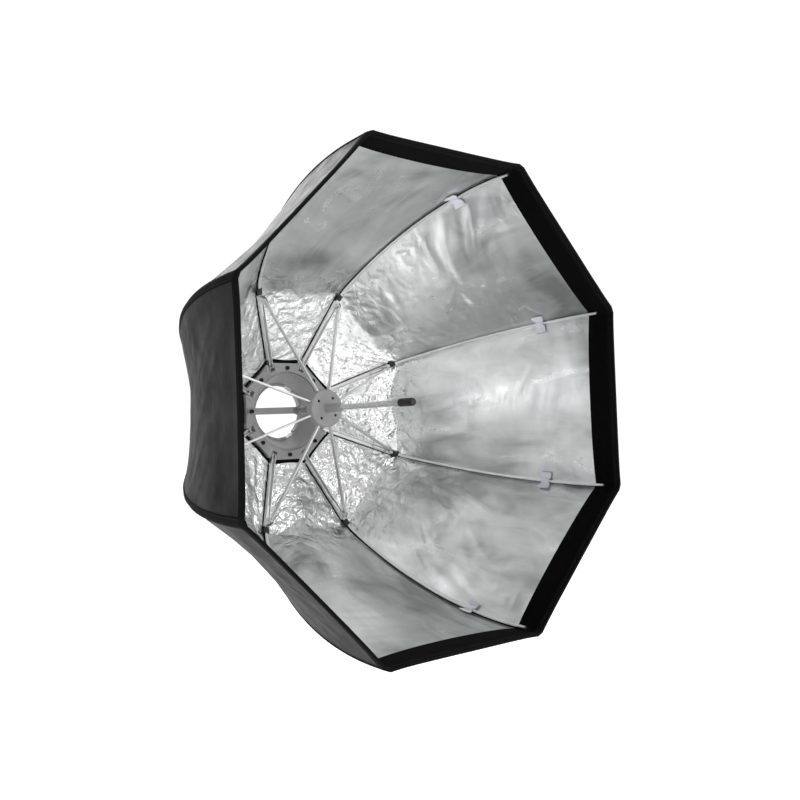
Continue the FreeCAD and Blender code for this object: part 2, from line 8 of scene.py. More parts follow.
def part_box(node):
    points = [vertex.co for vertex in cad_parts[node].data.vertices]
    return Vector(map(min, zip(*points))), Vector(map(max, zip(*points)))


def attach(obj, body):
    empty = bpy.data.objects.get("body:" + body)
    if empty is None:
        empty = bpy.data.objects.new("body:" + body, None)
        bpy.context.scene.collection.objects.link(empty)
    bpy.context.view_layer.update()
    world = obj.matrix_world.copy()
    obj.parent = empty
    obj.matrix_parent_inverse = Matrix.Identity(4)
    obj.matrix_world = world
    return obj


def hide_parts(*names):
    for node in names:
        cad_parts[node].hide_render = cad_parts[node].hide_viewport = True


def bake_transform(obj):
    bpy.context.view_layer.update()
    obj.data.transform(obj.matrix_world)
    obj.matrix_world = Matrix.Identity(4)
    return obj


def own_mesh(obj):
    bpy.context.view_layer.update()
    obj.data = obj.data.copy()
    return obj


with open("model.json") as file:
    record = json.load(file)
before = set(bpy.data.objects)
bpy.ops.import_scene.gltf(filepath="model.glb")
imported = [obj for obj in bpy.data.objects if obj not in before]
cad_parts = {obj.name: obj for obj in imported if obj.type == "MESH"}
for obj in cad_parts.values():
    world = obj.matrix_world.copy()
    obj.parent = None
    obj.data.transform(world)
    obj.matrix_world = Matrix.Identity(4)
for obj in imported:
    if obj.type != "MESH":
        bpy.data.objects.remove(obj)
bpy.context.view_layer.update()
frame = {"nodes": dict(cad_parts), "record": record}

# Octagonal studio softbox on an umbrella frame, in metres.
# The mouth faces -Y and the mount's centre is the origin.

bpy.ops.object.select_all(action="DESELECT")
ribNumbers = range(1, 9)
ribStep = math.radians(45)
firstRib = math.radians(22.5)
cosHalf = math.cos(ribStep / 2)
sinHalf = math.sin(ribStep / 2)
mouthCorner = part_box("canopy_gore_1")[1][0] / cosHalf
mouthDepth = -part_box("canopy_gore_1")[0][1]


def ribAzimuth(number):
    return firstRib + ribStep * (number - 1)


def addNode(tree, kind, **inputs):
    node = tree.nodes.new("ShaderNode" + kind)
    for name, value in inputs.items():
        socket = node.inputs[name.replace("_", " ")]
        if isinstance(value, bpy.types.NodeSocket):
            tree.links.new(value, socket)
        else:
            socket.default_value = value
    return node


def newMaterial(name, color, roughness, metallic=0.0, **sockets):
    material = bpy.data.materials.new(name)
    material.use_nodes = True
    shader = material.node_tree.nodes["Principled BSDF"]
    shader.inputs["Base Color"].default_value = (*color, 1)
    shader.inputs["Roughness"].default_value = roughness
    shader.inputs["Metallic"].default_value = metallic
    for socket, value in sockets.items():
        shader.inputs[socket.replace("_", " ")].default_value = value
    return material, material.node_tree, shader


def objectPlace(tree):
    return addNode(tree, "TexCoord").outputs["Object"]


def clothPlace(tree):
    node = tree.nodes.new("ShaderNodeUVMap")
    node.uv_map = "clothCut"
    return node.outputs["UV"]


def stretched(tree, place, scale, turn=0.0):
    node = addNode(tree, "Mapping", Vector=place, Scale=scale)
    node.inputs["Rotation"].default_value = (0, 0, turn)
    return node.outputs["Vector"]


def mottle(tree, place, scale, detail=4.0, roughness=0.55, distortion=0.0):
    node = addNode(tree, "TexNoise", Vector=place, Scale=scale, Detail=detail,
                   Roughness=roughness, Distortion=distortion)
    return node.outputs["Fac"]


def crackle(tree, place, scale, feature="DISTANCE_TO_EDGE"):
    node = addNode(tree, "TexVoronoi", Vector=place, Scale=scale)
    node.feature = feature
    return node.outputs["Distance"]


def threads(tree, place, pitch, direction="X"):
    node = addNode(tree, "TexWave", Vector=place, Scale=1 / pitch / math.pi * 0.5)
    node.bands_direction = direction
    return node.outputs["Fac"]


def calc(tree, operation, first, second=0.0, third=0.0):
    node = tree.nodes.new("ShaderNodeMath")
    node.operation = operation
    for socket, value in zip(node.inputs, (first, second, third)):
        if isinstance(value, bpy.types.NodeSocket):
            tree.links.new(value, socket)
        else:
            socket.default_value = value
    return node.outputs[0]


def spread(tree, value, low, high, toLow=0.0, toHigh=1.0):
    node = addNode(tree, "MapRange", Value=value)
    for name, number in (("From Min", low), ("From Max", high), ("To Min", toLow), ("To Max", toHigh)):
        node.inputs[name].default_value = number
    return node.outputs["Result"]


def shades(tree, factor, *stops):
    node = addNode(tree, "ValToRGB", Fac=factor)
    ramp = node.color_ramp
    while len(ramp.elements) < len(stops):
        ramp.elements.new(0.5)
    for element, (place, color) in zip(ramp.elements, stops):
        element.position = place
        element.color = (*color, 1)
    return node.outputs["Color"]


def bumpy(tree, shader, height, strength, distance, under=None):
    node = addNode(tree, "Bump", Height=height, Strength=strength, Distance=distance)
    if under is not None:
        tree.links.new(under, node.inputs["Normal"])
    tree.links.new(node.outputs["Normal"], shader.inputs["Normal"])
    return node.outputs["Normal"]


def gray(value, warmth=0.0):
    return (value * (1 + warmth), value, value * (1 - warmth))


shellLook = {
    "dark": (0.009, 0.009, 0.010),
    "light": (0.017, 0.017, 0.019),
    "threadPitch": 0.0009,
    "roughness": 0.52,
}


def shellNylon():
    material, tree, shader = newMaterial(
        "shellNylon", shellLook["dark"], shellLook["roughness"], Sheen_Weight=0.01,
        Sheen_Roughness=0.4, Specular_IOR_Level=0.09)
    place = clothPlace(tree)
    patches = mottle(tree, place, 9, 5)
    color = shades(tree, patches, (0.35, shellLook["dark"]), (0.68, shellLook["light"]))
    tree.links.new(color, shader.inputs["Base Color"])
    weave = calc(tree, "MAXIMUM", threads(tree, place, shellLook["threadPitch"], "X"),
                 threads(tree, place, shellLook["threadPitch"], "Y"))
    creases = mottle(tree, place, 55, 5, 0.6, 0.6)
    first = bumpy(tree, shader, creases, 0.35, 0.0016)
    bumpy(tree, shader, weave, 0.25, 0.00012, first)
    rough = spread(tree, mottle(tree, place, 30, 3), 0.3, 0.7, 0.46, 0.60)
    tree.links.new(rough, shader.inputs["Roughness"])
    return material


liningLook = {
    "dull": (0.38, 0.39, 0.39),
    "mid": (0.74, 0.75, 0.75),
    "bright": (0.97, 0.97, 0.97),
    "creaseFold": 34.0,
    "crinkle": 130.0,
    "crinkledTo": (0.185, 0.265),  # the crinkled zone round the ring fades out between these
    "polishedTo": (0.12, 0.24),
}


def silverLining():
    material, tree, shader = newMaterial("silverLining", liningLook["mid"], 0.32, 0.90)
    place = clothPlace(tree)
    split = addNode(tree, "SeparateXYZ", Vector=place)
    along = split.outputs["Y"]
    # The coating is duller in worn patches; its colour is also darkened towards the mouth, which is
    # painted shade.
    patches = mottle(tree, place, 5, 3, 0.5, 0.5)
    streaks = mottle(tree, stretched(tree, place, (1, 0.35, 1), 0.7), 20, 4, 0.55, 0.8)
    tone = calc(tree, "MULTIPLY_ADD", streaks, 0.32, calc(tree, "MULTIPLY", patches, 0.68))
    # Painted shade: the tone is lowered along the rib towards the mouth.
    tone = calc(tree, "SUBTRACT", tone, spread(tree, along, 0.16, 0.42, 0.0, 0.05))
    color = shades(tree, tone, (0.34, liningLook["dull"]), (0.46, liningLook["mid"]),
                   (0.58, liningLook["bright"]))
    tree.links.new(color, shader.inputs["Base Color"])
    rough = spread(tree, along, *liningLook["polishedTo"], 0.24, 0.32)
    rough = calc(tree, "ADD", rough, spread(tree, streaks, 0.35, 0.65, 0.05, -0.05))
    tree.links.new(rough, shader.inputs["Roughness"])
    warp = mottle(tree, place, 14, 3)
    warped = addNode(tree, "VectorMath")
    warped.operation = "MULTIPLY_ADD"
    tree.links.new(addNode(tree, "CombineXYZ", X=warp, Y=warp).outputs[0], warped.inputs[0])
    warped.inputs[1].default_value = (0.05, -0.04, 0)
    tree.links.new(place, warped.inputs[2])
    bent = warped.outputs["Vector"]
    folds = spread(tree, crackle(tree, bent, liningLook["creaseFold"]), 0.0, 0.22)
    crinkles = crackle(tree, bent, liningLook["crinkle"])
    handled = spread(tree, mottle(tree, place, 8, 3), 0.46, 0.66, 0.0, 0.34)
    inner = spread(tree, along, *liningLook["crinkledTo"], 1.0, 0.0)
    amount = calc(tree, "MAXIMUM", handled, inner)
    first = bumpy(tree, shader, calc(tree, "MULTIPLY", folds, amount), 0.5, 0.0022)
    second = bumpy(tree, shader, calc(tree, "MULTIPLY", crinkles, amount), 0.55, 0.0018, first)
    bumpy(tree, shader, mottle(tree, place, 380, 3), 0.22, 0.0006, second)
    return material


def hookLoop():
    material, tree, shader = newMaterial(
        "hookLoopBand", gray(0.003), 1.0, Sheen_Weight=0.01, Sheen_Roughness=0.6,
        Specular_IOR_Level=0.04)
    place = clothPlace(tree)
    fuzz = mottle(tree, place, 1400, 3, 0.7)
    color = shades(tree, fuzz, (0.3, gray(0.0015)), (0.75, gray(0.005)))
    tree.links.new(color, shader.inputs["Base Color"])
    rows = threads(tree, place, 0.0024, "Y")
    first = bumpy(tree, shader, rows, 0.3, 0.0003)
    bumpy(tree, shader, fuzz, 0.7, 0.0006, first)
    return material


stitchLook = {"length": 0.0034, "gap": 0.0012, "halfWidth": 0.00045}


def stitched(name, dark, light, ribPitch, lines, alongAxis="Y"):
    # A woven tape with rows of stitches that run along it; lines are the rows' places across.
    material, tree, shader = newMaterial(name, dark, 0.85, Specular_IOR_Level=0.07)
    place = clothPlace(tree)
    split = addNode(tree, "SeparateXYZ", Vector=place)
    along = split.outputs[alongAxis]
    across = split.outputs["X" if alongAxis == "Y" else "Y"]
    period = stitchLook["length"] + stitchLook["gap"]
    cell = calc(tree, "PINGPONG", along, period / 2)
    dash = spread(tree, cell, stitchLook["gap"] / 2, stitchLook["gap"] / 2 + 0.0004)
    mask = None
    for line in lines:
        apart = calc(tree, "ABSOLUTE", calc(tree, "SUBTRACT", across, line))
        row = spread(tree, apart, stitchLook["halfWidth"] * 1.6, stitchLook["halfWidth"])
        mask = row if mask is None else calc(tree, "MAXIMUM", mask, row)
    thread = calc(tree, "MULTIPLY", mask, dash)
    grain = mottle(tree, place, 600, 3)
    color = shades(tree, calc(tree, "MAXIMUM", thread, calc(tree, "MULTIPLY", grain, 0.35)),
                   (0.1, dark), (0.35, tuple(c * 1.6 for c in dark)), (0.9, light))
    tree.links.new(color, shader.inputs["Base Color"])
    cords = threads(tree, place, ribPitch, "X" if alongAxis == "X" else "Y")
    first = bumpy(tree, shader, cords, 0.35, 0.0002)
    bumpy(tree, shader, thread, 0.8, 0.0006, first)
    return material


def tabLoops():
    material, tree, shader = newMaterial(
        "tabLoops", (0.88, 0.87, 0.96), 0.85, Sheen_Weight=0.4, Sheen_Roughness=0.5)
    place = clothPlace(tree)
    loops = mottle(tree, place, 900, 3, 0.7)
    color = shades(tree, loops, (0.3, (0.76, 0.74, 0.88)), (0.65, (0.94, 0.93, 0.99)))
    tree.links.new(color, shader.inputs["Base Color"])
    first = bumpy(tree, shader, crackle(tree, place, 700, "F1"), 0.6, 0.0006)
    bumpy(tree, shader, loops, 0.5, 0.0005, first)
    return material


def paint(name, color, roughness, grainScale=900.0, grainDepth=0.00012, wear=0.12):
    material, tree, shader = newMaterial(name, color, roughness, Specular_IOR_Level=0.4)
    place = objectPlace(tree)
    patches = mottle(tree, place, 26, 6, 0.6)
    darker = tuple(c * (1 - wear) for c in color)
    lighter = tuple(min(1, c * (1 + wear)) for c in color)
    tree.links.new(shades(tree, patches, (0.3, darker), (0.7, lighter)), shader.inputs["Base Color"])
    tree.links.new(spread(tree, mottle(tree, place, 70, 4), 0.3, 0.7, roughness - 0.07,
                          roughness + 0.07), shader.inputs["Roughness"])
    first = bumpy(tree, shader, mottle(tree, place, grainScale, 2), 0.35, grainDepth)
    bumpy(tree, shader, mottle(tree, place, 60, 2), 0.15, 0.0003, first)
    return material


def metal(name, color, roughness, grain=(1, 1, 1), wear=0.10):
    material, tree, shader = newMaterial(name, color, roughness, 1.0)
    place = objectPlace(tree)
    patches = mottle(tree, place, 40, 5, 0.6)
    darker = tuple(c * (1 - wear) for c in color)
    tree.links.new(shades(tree, patches, (0.3, darker), (0.7, color)), shader.inputs["Base Color"])
    lines = mottle(tree, stretched(tree, place, grain), 500, 3)
    tree.links.new(spread(tree, lines, 0.3, 0.7, roughness - 0.06, roughness + 0.08),
                   shader.inputs["Roughness"])
    bumpy(tree, shader, lines, 0.12, 0.0001)
    return material


finishes = {
    "ring_paint": paint("ringPaint", gray(0.40), 0.55, 1100, 0.00015),
    "insert_paint": paint("insertPaint", gray(0.36), 0.48, 900, 0.0001),
    "black_screw": metal("blackScrew", gray(0.035), 0.42),
    "pin_steel": metal("pinSteel", gray(0.50), 0.30),
    "bracket_steel": metal("bracketSteel", gray(0.42), 0.38, (0.15, 1, 1)),
    "shaft_steel": metal("shaftSteel", gray(0.55), 0.26, (1, 0.1, 1)),
    "black_plastic": paint("blackPlastic", gray(0.014), 0.45, 1500, 0.00008),
    "runner_plastic": paint("runnerPlastic", gray(0.38), 0.50, 1000, 0.0001),
    "clip_plastic": paint("clipPlastic", gray(0.030), 0.50, 1500, 0.00008),
    "channel_metal": metal("channelMetal", gray(0.80), 0.38),
    "rod_metal": metal("rodMetal", gray(0.93), 0.42),
    "stretcher_metal": metal("stretcherMetal", gray(0.76), 0.38),
}
silver = silverLining()
shell = shellNylon()
band = hookLoop()
seamTape = stitched("seamTape", gray(0.006), gray(0.035), 0.0011, (-0.0055, 0.0055))
rimRibbon = stitched("rimRibbon", gray(0.004), gray(0.020), 0.0013, (0.0065,), "X")
hemRibbon = stitched("hemRibbon", gray(0.006), gray(0.03), 0.0013, (0.0060,), "X")
liningSeam = stitched("liningSeam", gray(0.008), gray(0.05), 0.0011, (-0.0062, 0.0062))
tabCloth = tabLoops()
print("materials made")


# The cloth's shape along one rib.
ribLine = {
    "rootRadius": 0.0864,
    "rootDepth": 0.0413,
    "tilt": math.radians(21.316),
    "straight": 0.1359,
    "kinkRadius": 0.090,
    "kinkAngle": math.radians(28),
    "tipRadius": 0.392,
    "tipDepth": 0.4772,
}
cloth = {
    "start": 0.011,  # along the rib, from its hinge
    "thickness": 0.0025,
    "channelGap": 0.0062,  # from the rib's centre line to the lining
    "rodGap": 0.0040,
    "sag": 0.05,
    "ridgeHalf": 0.0055,  # the flat strip over the rib
    "ridgeFade": 0.020,
    "bandWidth": 0.047,
    "rowPitch": 0.0045,
    "mapSpacing": 1.7,  # between two panels on the cloth's own map
    "columns": 25,
    "cuts": (0.040, 0.085, 0.130, 0.175, 0.225, 0.275, 0.325, 0.375, 0.430, 0.490),
}


def profileAlongRib():
    tilt = ribLine["tilt"]
    bend = ribLine["kinkRadius"]
    kink = ribLine["kinkAngle"]
    straight = ribLine["straight"]
    outward = np.array([math.cos(tilt), math.sin(tilt)])
    backward = np.array([math.sin(tilt), -math.cos(tilt)])
    root = np.array([ribLine["rootRadius"], ribLine["rootDepth"]])
    tip = np.array([ribLine["tipRadius"], ribLine["tipDepth"]]) - root
    tip = np.array([tip @ outward, tip @ backward])
    kinkEnd = np.array([straight + bend * math.sin(kink), -bend * (1 - math.cos(kink))])
    chord = tip - kinkEnd
    half = -math.atan2(chord[1], chord[0]) - kink
    sweep = np.linalg.norm(chord) / (2 * math.sin(half))
    heading = np.array([math.cos(kink), -math.sin(kink)])
    inward = np.array([-math.sin(kink), -math.cos(kink)])
    centre = kinkEnd + inward * sweep
    kinkLength = bend * kink
    arcLength = sweep * 2 * half
    end = straight + kinkLength + arcLength
    lengths = np.linspace(cloth["start"] - 0.003, end, 900)
    inner, outer, line = [], [], []
    for s in lengths:
        if s <= straight:
            point, lean = np.array([s, 0.0]), 0.0
        elif s <= straight + kinkLength:
            lean = (s - straight) / bend
            point = np.array([straight + bend * math.sin(lean), -bend * (1 - math.cos(lean))])
        else:
            turn = (s - straight - kinkLength) / sweep
            point = centre - inward * sweep * math.cos(turn) + heading * sweep * math.sin(turn)
            lean = kink + turn
        ease = min(max((s - straight - kinkLength) / (0.2 * arcLength), 0), 1)
        ease = ease * ease * (3 - 2 * ease)
        gap = cloth["channelGap"] + (cloth["rodGap"] - cloth["channelGap"]) * ease
        normal = np.array([math.sin(lean), math.cos(lean)])
        for rows, offset in ((line, 0.0), (inner, gap), (outer, gap + cloth["thickness"])):
            local = point + normal * offset
            rows.append(root + outward * local[0] + backward * local[1])
    reach = mouthDepth - inner[-1][1]
    lengths = np.append(lengths, end + reach)
    inner.append(np.array([mouthCorner - cloth["thickness"], mouthDepth]))
    outer.append(np.array([mouthCorner, mouthDepth]))
    line.append(line[-1] + np.array([0, reach]))
    third = kinkLength / 3
    marks = [cloth["start"], 0.055, 0.095, straight, straight + third, straight + 2 * third]
    for share in (0.0, 0.08, 0.2, 0.33, 0.47, 0.61, 0.75, 0.88, 1.0):
        marks.append(straight + kinkLength + arcLength * share)
    marks.append(end + reach)
    sag = np.interp(lengths, marks, np.arange(len(marks)) / (len(marks) - 1))
    sag = cloth["sag"] * np.sin(math.pi * sag)
    table = {"length": lengths, "lining": np.array(inner), "shell": np.array(outer),
             "rib": np.array(line), "sag": sag, "joint": straight + kinkLength / 2}
    return table


profile = profileAlongRib()
rimLength = float(profile["length"][-1])
bandStart = rimLength - cloth["bandWidth"]


def profileAt(s, side):
    radius = np.interp(s, profile["length"], profile[side][:, 0])
    depth = np.interp(s, profile["length"], profile[side][:, 1])
    return float(radius), float(depth)


# Rows run along the ribs, columns go once round; each cut between two strips falls on a row.
edges = [cloth["start"], *cloth["cuts"], bandStart, rimLength]
rowLengths, cutRows = [edges[0]], [0]
for low, high in zip(edges, edges[1:]):
    count = max(2, math.ceil((high - low) / cloth["rowPitch"]))
    rowLengths += [low + (high - low) * (i + 1) / count for i in range(count)]
    cutRows.append(len(rowLengths) - 1)
rowLengths = np.array(rowLengths)
nearRib = [0.0, 0.0025, cloth["ridgeHalf"], 0.0080]
halfColumns = len(nearRib) + cloth["columns"]
panelColumns = 2 * halfColumns - 1  # both ridges counted
roundColumns = 8 * (panelColumns - 1)


def smooth(value, low, high):
    share = min(max((value - low) / (high - low), 0.0), 1.0)
    return share * share * (3 - 2 * share)


# Folds of each panel, from the one between ribs 1 and 2 and then anticlockwise from the front:
# how strong broad folds, crumples and gathers are, how they lean, and where the pattern starts.
panelFolds = {
    0: {"broad": 1.3, "crumple": 0.85, "lean": 1.35, "fan": 1.2, "seed": 3.1},
    1: {"broad": 0.5, "crumple": 0.15, "lean": 1.20, "fan": 0.6, "seed": 11.7},
    2: {"broad": 0.6, "crumple": 0.35, "lean": 0.40, "fan": 0.8, "seed": 23.9},
    3: {"broad": 0.7, "crumple": 0.45, "lean": -0.60, "fan": 1.0, "seed": 31.3},
    4: {"broad": 0.8, "crumple": 0.45, "lean": 0.60, "fan": 1.0, "seed": 44.2},
    5: {"broad": 0.4, "crumple": 0.10, "lean": 1.10, "fan": 0.5, "seed": 52.8},
    6: {"broad": 1.0, "crumple": 0.55, "lean": -0.50, "fan": 1.8, "seed": 67.5},
    7: {"broad": 0.5, "crumple": 0.25, "lean": 1.45, "fan": 0.7, "seed": 75.4},
}
# Depth of each kind of fold, and how many there are to a metre across and along the panel.
foldSizes = {
    "billow": (0.0034, 9, 7),
    "broad": (0.0018, 30, 7),
    "crumple": (0.0015, 62, 40),
    "small": (0.0006, 130, 110),
    "fan": 0.0013,
    "fanRays": 15,
    "fanReach": 0.045,
    "fanCentre": 0.150,  # along the rib
    "jointFold": 0.0036,
    "jointFoldSpread": 0.022,
    "crumpledTo": (0.13, 0.21),
    "shellShare": 0.5,  # how much of a gather shows outside
}


def foldDepths(panel, w, halfWidth, s):
    # How far the lining and the shell stand out of the smooth panel at one place.
    style = panelFolds[panel]
    seed = style["seed"]
    fromRib = halfWidth - abs(w)
    hold = smooth(fromRib, 0.004, 0.030) * smooth(s, 0.015, 0.05)
    hold *= 1 - 0.92 * smooth(s, bandStart - 0.035, bandStart - 0.004)
    lean = style["lean"]
    x = w * math.cos(lean) - s * math.sin(lean)
    y = w * math.sin(lean) + s * math.cos(lean)
    depth, across, along = foldSizes["billow"]
    billow = noise.noise(Vector((w * across, s * along, seed))) * depth
    bend = noise.noise(Vector((w * 12, s * 12, seed + 5))) * 0.6
    depth, across, along = foldSizes["broad"]
    broad = noise.noise(Vector((x * across + bend, y * along, seed + 9)))
    broad = (1 - 2 * abs(broad)) * depth * style["broad"]
    where = smooth(noise.noise(Vector((w * 8, s * 8, seed + 14))), -0.15, 0.25) * style["crumple"]
    wander = noise.noise(Vector((w * 22, s * 22, seed + 20)))
    depth, across, along = foldSizes["crumple"]
    crumple = noise.noise(Vector((x * across + wander * 1.4, y * along + wander, seed + 25)))
    crumple = (1 - 2.4 * abs(crumple)) * depth
    depth, across, along = foldSizes["small"]
    small = noise.noise(Vector((x * across, y * along + wander, seed + 33)))
    small = (1 - 2.4 * abs(small)) * depth
    inner = 1 - smooth(s, *foldSizes["crumpledTo"])
    where = max(where, inner * 0.85)
    # The cloth is pulled straight from joint to joint and folds along that line.
    line = profile["joint"] + 0.004 * noise.noise(Vector((w * 25, seed, 2)))
    away = math.hypot(s - line, 0.0015)
    jointFold = foldSizes["jointFold"] * math.exp(-away / foldSizes["jointFoldSpread"])
    # Gathers fan out from the joint at each rib.
    fan = 0.0
    if fromRib < 0.11 and 0.10 < s < 0.34:
        ahead = s - foldSizes["fanCentre"]
        angle = math.atan2(fromRib + 0.004, ahead)
        near = math.hypot(fromRib, ahead)
        fan = math.sin(angle * foldSizes["fanRays"] + seed + wander * 0.8)
        fan *= foldSizes["fan"] * style["fan"]
        fan *= math.exp(-near / foldSizes["fanReach"]) * smooth(fromRib, 0.002, 0.012)
    deep = (billow + broad + jointFold) * hold
    fine = where * (crumple + small) * hold
    lining = deep + fine + fan
    outside = deep + fine * 0.45 + fan * foldSizes["shellShare"]
    return lining, outside


def canopyGrids():
    rows = len(rowLengths)
    place = {side: np.zeros((rows, roundColumns, 3)) for side in ("lining", "shell")}
    push = {side: np.zeros((rows, roundColumns)) for side in ("lining", "shell")}
    acrossPanel = np.zeros((rows, 8, panelColumns))
    for row, s in enumerate(rowLengths):
        sag = float(np.interp(s, profile["length"], profile["sag"]))
        for side in ("lining", "shell"):
            radius, depth = profileAt(s, side)
            halfWidth = radius * cosHalf * sinHalf
            zs = nearRib + [nearRib[-1] + (halfWidth - nearRib[-1]) * (i + 1) / cloth["columns"]
                            for i in range(cloth["columns"])]
            for k, z in enumerate(zs):
                q = z / halfWidth
                pulled = radius * cosHalf * sag * (2 * q - q * q)
                lift = (1 - cosHalf ** 2) / (cosHalf * sinHalf) * min(z, cloth["ridgeHalf"])
                lift *= math.exp(-max(0, z - cloth["ridgeHalf"]) / cloth["ridgeFade"])
                out = radius * (1 - q * (1 - cosHalf ** 2)) - pulled * cosHalf + lift
                off = z - pulled * sinHalf
                if side == "lining":
                    acrossPanel[row, :, k] = -(halfWidth - z)
                    acrossPanel[row, :, panelColumns - 1 - k] = halfWidth - z
                for panel in range(8):
                    start = ribAzimuth(panel + 1)
                    for azimuth, sign, column in (
                            (start, 1, k), (start + ribStep, -1, panelColumns - 1 - k)):
                        at = (panel * (panelColumns - 1) + column) % roundColumns
                        place[side][row, at] = (
                            math.cos(azimuth) * out - sign * math.sin(azimuth) * off,
                            -depth,
                            math.sin(azimuth) * out + sign * math.cos(azimuth) * off)
        for panel in range(8):
            halfWidth = -acrossPanel[row, panel, 0]
            for column in range(panelColumns):
                at = (panel * (panelColumns - 1) + column) % roundColumns
                w = acrossPanel[row, panel, column]
                inside, outside = foldDepths(panel, w, halfWidth, s)
                push["lining"][row, at] = inside
                push["shell"][row, at] = outside
    for side in place:
        place[side] += gridNormals(place[side]) * push[side][:, :, None]
    return place, {side: gridNormals(place[side]) for side in place}, acrossPanel


def gridNormals(grid):
    # Outward normals of a grid that closes on itself round the box.
    around = np.roll(grid, -1, axis=1) - np.roll(grid, 1, axis=1)
    along = np.gradient(grid, axis=0)
    normals = np.cross(along, around)
    normals /= np.linalg.norm(normals, axis=2, keepdims=True)
    facing = np.stack([grid[:, :, 0], np.zeros(grid.shape[:2]), grid[:, :, 2]], axis=2)
    sign = np.sign(np.sum(normals[len(grid) // 2, 0] * facing[len(grid) // 2, 0]))
    return normals * sign


grids, gridNormal, acrossPanel = canopyGrids()
print("cloth shape worked out")


def slab(name, outer, inner, outerNormals, innerNormals, places, materials, ring=False):
    # A closed sheet between two grids; materials are for the outer face, inner face and edges.
    rows, columns = outer.shape[:2]
    count = rows * columns
    points = np.concatenate([outer.reshape(-1, 3), inner.reshape(-1, 3)])
    faces, cornerNormals, cornerPlaces, finish = [], [], [], []
    spans = columns if ring else columns - 1

    for row in range(rows - 1):
        for column in range(spans):
            following = (column + 1) % columns
            corners = [(row, column), (row, following), (row + 1, following), (row + 1, column)]
            marks = [places[row, column, 0], places[row, column, 1],
                     places[row + 1, column, 1], places[row + 1, column, 0]]
            faces.append([r * columns + c for r, c in corners])
            cornerNormals += [outerNormals[r, c] for r, c in corners]
            cornerPlaces += marks
            finish.append(0)
            faces.append([count + r * columns + c for r, c in reversed(corners)])
            cornerNormals += [innerNormals[r, c] for r, c in reversed(corners)]
            cornerPlaces += marks[::-1]
            finish.append(1)
    border = []
    for column in range(spans):
        border.append(((0, (column + 1) % columns), (0, column), places[0, column, 1],
                       places[0, column, 0]))
        border.append(((rows - 1, column), (rows - 1, (column + 1) % columns),
                       places[-1, column, 0], places[-1, column, 1]))
    if not ring:
        for row in range(rows - 1):
            border.append(((row, 0), (row + 1, 0), places[row, 0, 0], places[row + 1, 0, 0]))
            border.append(((row + 1, columns - 1), (row, columns - 1),
                           places[row + 1, -1, 1], places[row, -1, 1]))
    for (r0, c0), (r1, c1), mark0, mark1 in border:
        a, b = r0 * columns + c0, r1 * columns + c1
        face = [a, b, b + count, a + count]
        faces.append(face)
        p = [points[i] for i in face]
        flat = np.cross(p[1] - p[0], p[3] - p[0])
        flat /= max(np.linalg.norm(flat), 1e-12)
        cornerNormals += [flat] * 4
        cornerPlaces += [mark0, mark1, mark1, mark0]
        finish.append(2)
    # Turn everything over if the outer face looks in.
    first = [points[i] for i in faces[0]]
    facing = np.cross(first[1] - first[0], first[3] - first[0]) @ outerNormals[0, 0]
    mesh = bpy.data.meshes.new(name)
    if facing < 0:
        faces = [face[::-1] for face in faces]
        for k in range(0, len(cornerNormals), 4):
            cornerNormals[k:k + 4] = cornerNormals[k:k + 4][::-1]
            cornerPlaces[k:k + 4] = cornerPlaces[k:k + 4][::-1]
        for k, number in enumerate(finish):
            if number == 2:
                for corner in range(4 * k, 4 * k + 4):
                    cornerNormals[corner] = -np.array(cornerNormals[corner])
    mesh.from_pydata(points.tolist(), [], faces)
    for material in materials:
        mesh.materials.append(material)
    mesh.polygons.foreach_set("material_index", finish)
    mesh.polygons.foreach_set("use_smooth", [True] * len(faces))
    layer = mesh.uv_layers.new(name="clothCut")
    layer.data.foreach_set("uv", np.array(cornerPlaces, dtype=np.float32).ravel())
    mesh.update()
    mesh.normals_split_custom_set(np.array(cornerNormals, dtype=np.float32))
    piece = bpy.data.objects.new(name, mesh)
    bpy.context.scene.collection.objects.link(piece)
    return piece


def goreColumns(number, half=halfColumns - 1):
    # Columns round one rib, from one panel's middle to the next, or less.
    ridge = (number - 1) * (panelColumns - 1)
    return [(ridge + k) % roundColumns for k in range(-half, half + 1)]


def cutPlaces(number, rows, half=halfColumns - 1):
    # Where each quad's two sides lie on the flat cut, counted from the panel's middle.
    out = np.zeros((len(rows), 2 * half, 2, 2))
    for i, row in enumerate(rows):
        for k in range(2 * half):
            for side in (0, 1):
                step = k + side - half
                if k >= half:
                    panel, column = number - 1, step
                else:
                    panel, column = (number - 2) % 8, panelColumns - 1 + step
                out[i, k, side] = (acrossPanel[row, panel, column] + cloth["mapSpacing"] * (panel + 1),
                                   rowLengths[row])
    return out


def sideways(number):
    azimuth = ribAzimuth(number)
    return (-math.sin(azimuth), 0, math.cos(azimuth))


def onRib(number, s, side="rib"):
    radius, depth = profileAt(s, side)
    azimuth = ribAzimuth(number)
    return Vector((math.cos(azimuth) * radius, -depth, math.sin(azimuth) * radius))


def foldWith(piece, number):
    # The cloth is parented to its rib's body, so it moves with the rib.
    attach(piece, f"rib_{number}")
    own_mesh(piece)


def makeCanopy():
    for number in ribNumbers:
        columns = goreColumns(number)
        for strip in range(len(cutRows) - 1):
            rows = list(range(cutRows[strip], cutRows[strip + 1] + 1))
            pick = np.ix_(rows, columns)
            piece = slab(f"canopy_{number}_strip_{strip + 1}", grids["shell"][pick],
                         grids["lining"][pick], gridNormal["shell"][pick],
                         -gridNormal["lining"][pick], cutPlaces(number, rows),
                         (shell, silver, shell))
            extras = []
            if strip == 0:
                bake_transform(piece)
                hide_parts(f"canopy_gore_{number}")
            else:
                foldWith(piece, number)
            if strip == len(cutRows) - 2:
                extras = [makeBand(number, rows, columns), makeBinding(number, columns)]
        makeTape(number)
        makeLiningSeam(number)


